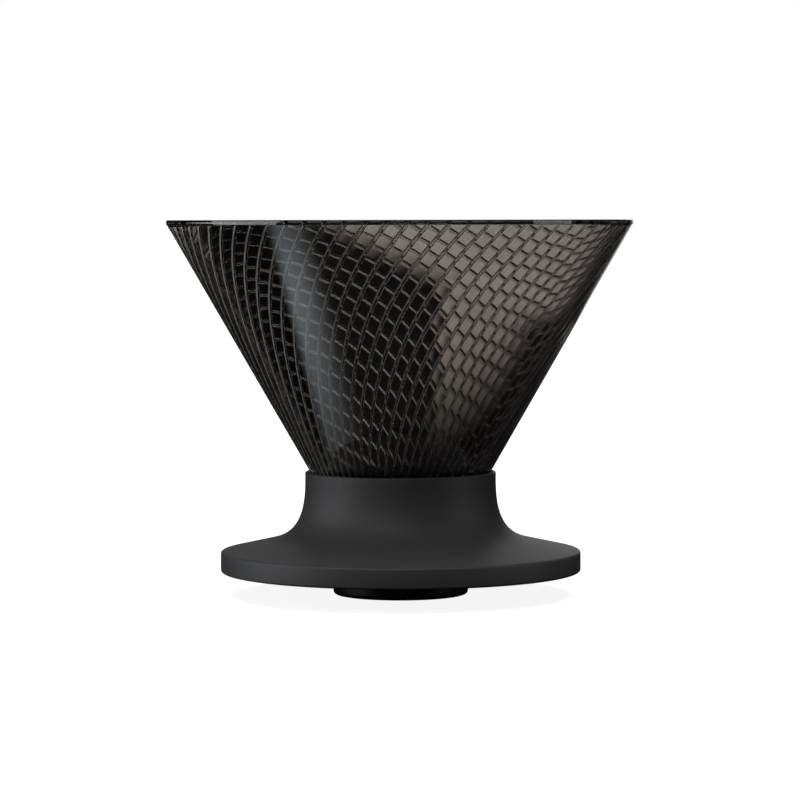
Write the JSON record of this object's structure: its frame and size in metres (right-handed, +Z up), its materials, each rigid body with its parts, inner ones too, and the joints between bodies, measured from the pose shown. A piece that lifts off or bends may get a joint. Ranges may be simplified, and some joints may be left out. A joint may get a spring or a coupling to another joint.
{
  "type": "pour over dripper",
  "caption": "Clear smoke-tinted ribbed filter cone standing in a matte dark flared base with a wide round flange and a lock ring under it.",
  "frame": {"origin": "centre of the lock ring's lower face, the lowest point of the dripper", "axes": "+Z up along the cone's axis, out of its mouth; X and Y are equivalent directions across the flange"},
  "size_m": [0.1164, 0.1164, 0.0937],
  "materials": {
    "smoke_clear": "clear smoke-tinted resin, polished outside, finely ribbed inside",
    "matte_charcoal": "fine matte",
    "black_insert": "satin moulded",
    "black_ring": "satin moulded",
    "seal_silicone": "soft matte",
    "washer_silicone": "soft matte"
  },
  "bodies": {
    "base": {"base_cover": "matte_charcoal", "base_core": "black_insert", "cone_seal": "seal_silicone"},
    "cone": {"cone": "smoke_clear"},
    "washer": {"ring_washer": "washer_silicone"},
    "lock_ring": {"lock_ring": "black_ring"}
  },
  "joints": [
    {"name": "cone_lift", "type": "slide", "parent": "base", "child": "cone", "axis": [0, 0, 1], "range_m": [0, 0.045]},
    {"name": "lock_ring_drop", "type": "slide", "parent": "base", "child": "washer", "axis": [0, 0, -1], "range_m": [0, 0.0045]},
    {"name": "lock_ring_turn", "type": "hinge", "parent": "washer", "child": "lock_ring", "pos_m": [0, 0, 0.003], "axis": [0, 0, -1], "range_deg": [0, 540]}
  ],
  "couplings": [
    {"joint": "lock_ring_drop", "follows": "lock_ring_turn", "m_per_rad": 0.00047746}
  ]
}
